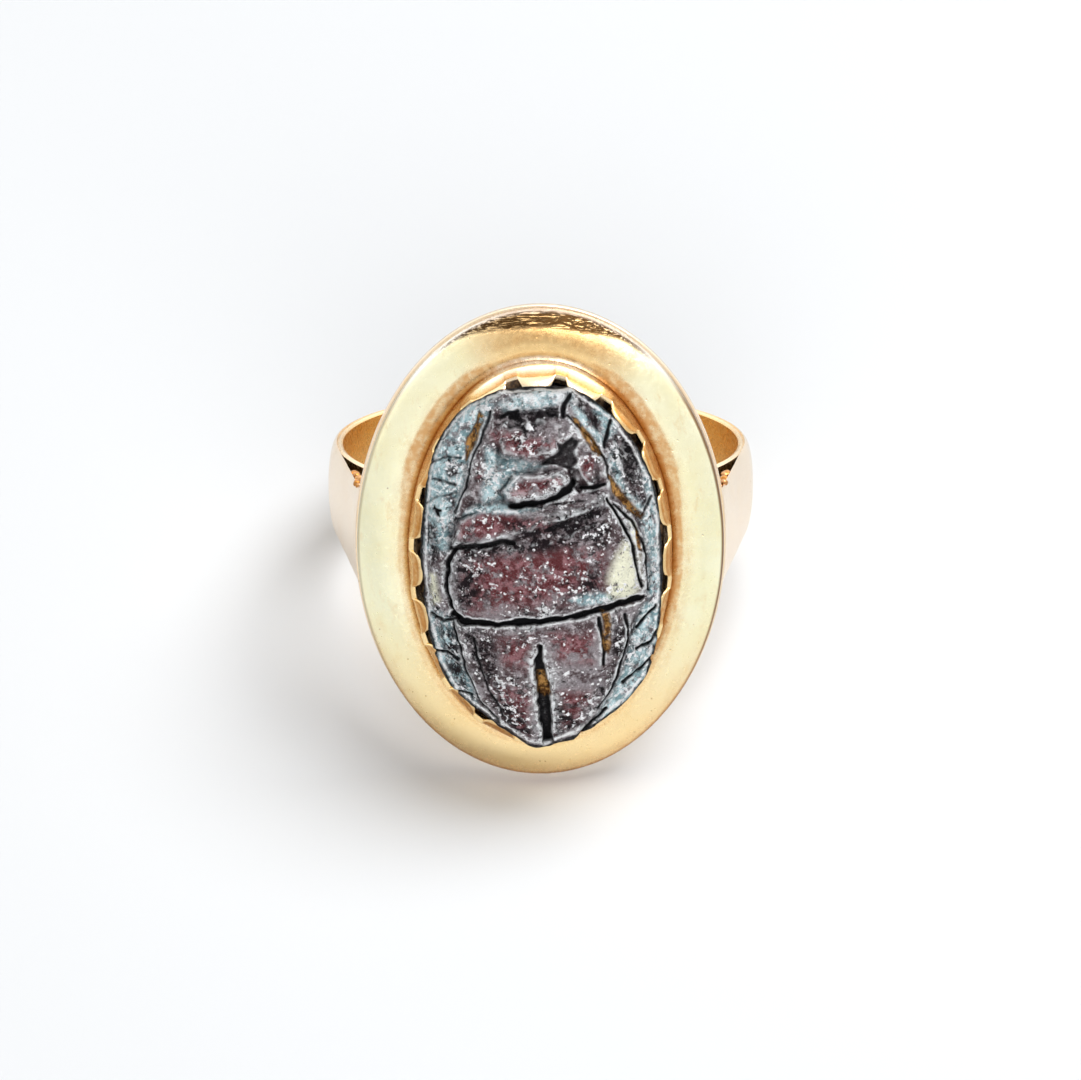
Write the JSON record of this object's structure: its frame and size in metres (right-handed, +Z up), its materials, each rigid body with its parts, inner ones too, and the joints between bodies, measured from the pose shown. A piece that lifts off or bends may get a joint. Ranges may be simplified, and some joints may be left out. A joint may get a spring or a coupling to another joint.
{
  "type": "scarab ring",
  "caption": "Gold finger ring with a sloped oval bezel, a scalloped collar and a carved glazed scarab seal.",
  "frame": {"origin": "on the surface that the ring stands on, under the middle of its bounding box", "axes": "+Z up, -Y towards the side that the bezel's face leans back from, X across the hand; the finger hole's axis leans 25 degrees back from upright"},
  "size_m": [0.0188, 0.0246, 0.019],
  "materials": {
    "glazed_stone": "worn glaze on carved stone",
    "cement": "matt mastic cement",
    "orange_gold": "polished, warm gold",
    "pale_gold": "polished, lightly pitted yellow gold",
    "rose_gold": "polished, pale pinkish gold"
  },
  "bodies": {
    "root": {"scarab": "glazed_stone", "cement_bed": "cement", "scalloped_collar": "orange_gold", "domed_frame": "pale_gold", "base_plate": "rose_gold", "finger_liner": "orange_gold", "shank_shell": "rose_gold"}
  },
  "joints": []
}
